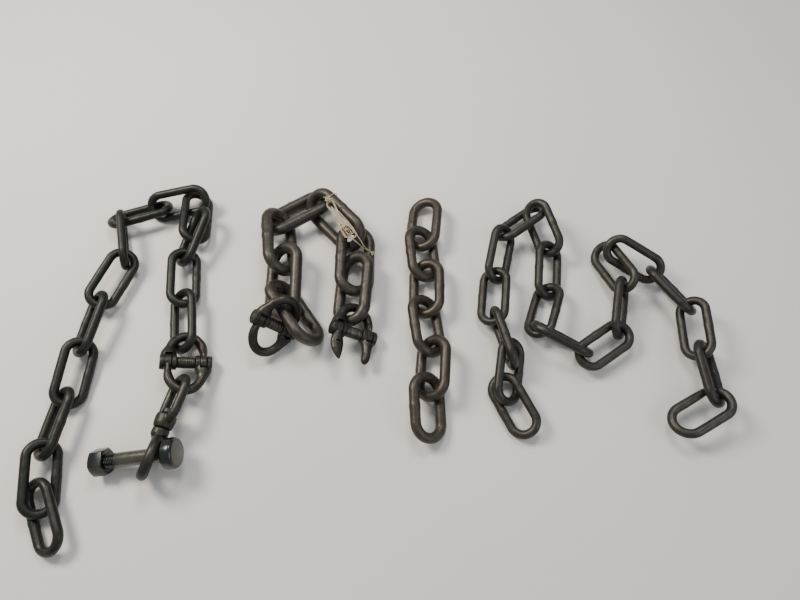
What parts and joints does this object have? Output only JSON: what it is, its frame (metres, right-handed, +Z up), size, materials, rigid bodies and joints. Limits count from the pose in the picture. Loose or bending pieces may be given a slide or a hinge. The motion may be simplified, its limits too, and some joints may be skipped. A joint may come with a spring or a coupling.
{
  "type": "heap of steel chain",
  "caption": "Heap of steel chain: four separate lengths of round-link chain lying on a floor, with two-part couplings, a swivel, a bolt and a hank of twine",
  "frame": {"origin": "on the floor under the middle of the heap's box", "axes": "+X runs across the four chain lengths, from the left chain to the right chain, +Y runs away from the bolt along the chains, +Z is up"},
  "size_m": [1.2074, 0.7138, 0.0922],
  "materials": {
    "left_chain_steel": "blackened, dull, greenish grey",
    "heavy_chain_steel": "blackened, worn bright on the high spots, light rust",
    "straight_chain_steel": "blackened, dull, light rust",
    "right_chain_steel": "blackened, dull grey",
    "coupling_steel": "forged, oily brown-grey",
    "coupling_pin_steel": "worn bright",
    "swivel_steel": "forged, blackened",
    "bolt_steel": "black oxide, glossy",
    "twine_fibre": "dull undyed fibre"
  },
  "bodies": {
    "root": {"left_chain_link_01": "left_chain_steel", "left_chain_link_02": "left_chain_steel", "left_chain_link_03": "left_chain_steel", "left_chain_link_04": "left_chain_steel", "left_chain_link_05": "left_chain_steel", "left_chain_link_06": "left_chain_steel", "left_chain_link_07": "left_chain_steel", "left_chain_link_08": "left_chain_steel", "left_chain_link_09": "left_chain_steel", "left_chain_link_10": "left_chain_steel", "left_chain_link_11": "left_chain_steel", "left_chain_link_12": "left_chain_steel", "left_chain_link_13": "left_chain_steel", "heavy_chain_link_01": "heavy_chain_steel", "heavy_chain_link_02": "heavy_chain_steel", "heavy_chain_link_03": "heavy_chain_steel", "heavy_chain_link_04": "heavy_chain_steel", "heavy_chain_link_05": "heavy_chain_steel", "heavy_chain_link_06": "heavy_chain_steel", "heavy_chain_link_07": "heavy_chain_steel", "straight_chain_link_01": "straight_chain_steel", "straight_chain_link_02": "straight_chain_steel", "straight_chain_link_03": "straight_chain_steel", "straight_chain_link_04": "straight_chain_steel", "straight_chain_link_05": "straight_chain_steel", "straight_chain_link_06": "straight_chain_steel", "right_chain_link_01": "right_chain_steel", "right_chain_link_02": "right_chain_steel", "right_chain_link_03": "right_chain_steel", "right_chain_link_04": "right_chain_steel", "right_chain_link_05": "right_chain_steel", "right_chain_link_06": "right_chain_steel", "right_chain_link_07": "right_chain_steel", "right_chain_link_08": "right_chain_steel", "right_chain_link_09": "right_chain_steel", "right_chain_link_10": "right_chain_steel", "right_chain_link_11": "right_chain_steel", "right_chain_link_12": "right_chain_steel", "right_chain_link_13": "right_chain_steel", "right_chain_link_14": "right_chain_steel", "right_chain_link_15": "right_chain_steel", "right_chain_link_16": "right_chain_steel", "right_chain_link_17": "right_chain_steel", "right_chain_link_18": "right_chain_steel", "left_coupling_upper_half": "coupling_steel", "left_coupling_lower_half": "coupling_steel", "left_coupling_pin": "coupling_pin_steel", "swivel_bow": "swivel_steel", "swivel_eye": "swivel_steel", "bolt": "bolt_steel", "bolt_nut": "bolt_steel", "heavy_start_coupling_upper_half": "coupling_steel", "heavy_start_coupling_lower_half": "coupling_steel", "heavy_start_coupling_pin": "coupling_pin_steel", "heavy_end_coupling_half": "coupling_steel", "heavy_end_coupling_left_stub": "coupling_steel", "heavy_end_coupling_right_stub": "coupling_steel", "heavy_end_coupling_pin": "coupling_pin_steel", "twine": "twine_fibre", "twine_hank": "twine_fibre"}
  },
  "joints": []
}
